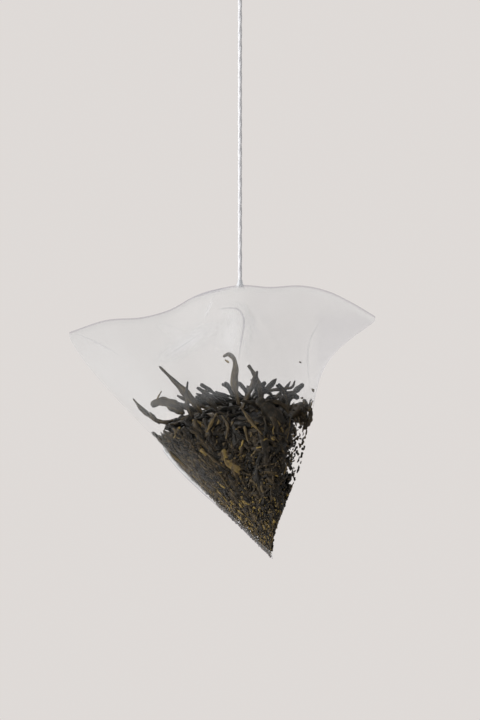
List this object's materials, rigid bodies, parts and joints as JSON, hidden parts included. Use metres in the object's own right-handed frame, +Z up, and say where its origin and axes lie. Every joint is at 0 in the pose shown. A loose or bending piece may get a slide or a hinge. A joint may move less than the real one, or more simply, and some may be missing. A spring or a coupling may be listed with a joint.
{
  "type": "pyramid tea bag",
  "caption": "Tetrahedral see-through mesh tea bag with two crosswise welded seams, loose leaf tea inside and a white hanging string.",
  "frame": {"origin": "inner crest of the loop at the top of the string, where a hook or finger bears", "axes": "+Z up along the taut string, +X to the right along the upper seam as the picture sees it, +Y away from the viewer"},
  "size_m": [0.0533, 0.0526, 0.1124],
  "materials": {
    "mesh_film": "fine see-through woven mesh, slightly glossy",
    "white_thread": "white twisted two-ply thread, matt",
    "packed_tea": "dark crumbled dry tea, matt",
    "rolled_leaf": "rolled dry tea leaf, dark grey-green, satin",
    "leaf_stem": "dry brown stem, matt"
  },
  "bodies": {
    "root": {"mesh_bag": "mesh_film", "string": "white_thread", "string_knot": "white_thread", "hanging_loop": "white_thread", "tea_bed": "packed_tea", "leaf_pointed": "rolled_leaf", "stem_knobby": "leaf_stem", "leaf_arched": "rolled_leaf", "leaf_hooked": "rolled_leaf", "leaf_crossed_left": "rolled_leaf", "leaf_crossed_right": "rolled_leaf", "stem_level": "leaf_stem", "stem_dark_tip": "leaf_stem", "leaf_far_right": "rolled_leaf", "leaf_far_left": "rolled_leaf", "leaf_striped": "rolled_leaf", "stem_low_left": "leaf_stem", "heap_leaf_01": "rolled_leaf", "heap_leaf_02": "rolled_leaf", "heap_leaf_03": "rolled_leaf", "heap_leaf_04": "rolled_leaf", "heap_leaf_05": "rolled_leaf", "heap_leaf_06": "rolled_leaf", "heap_leaf_07": "rolled_leaf", "heap_leaf_08": "rolled_leaf", "heap_leaf_09": "rolled_leaf", "heap_leaf_10": "rolled_leaf", "heap_leaf_11": "rolled_leaf", "heap_leaf_12": "rolled_leaf", "heap_leaf_13": "rolled_leaf", "heap_leaf_14": "rolled_leaf", "heap_leaf_15": "rolled_leaf", "heap_leaf_16": "rolled_leaf", "heap_leaf_17": "rolled_leaf", "heap_leaf_18": "rolled_leaf", "heap_leaf_19": "rolled_leaf", "heap_leaf_20": "rolled_leaf", "heap_leaf_21": "rolled_leaf", "heap_leaf_22": "rolled_leaf", "heap_leaf_23": "rolled_leaf", "heap_leaf_24": "rolled_leaf", "heap_leaf_25": "rolled_leaf", "heap_leaf_26": "rolled_leaf", "heap_leaf_27": "rolled_leaf", "heap_leaf_28": "rolled_leaf", "heap_leaf_29": "rolled_leaf", "heap_leaf_30": "rolled_leaf"}
  },
  "joints": []
}
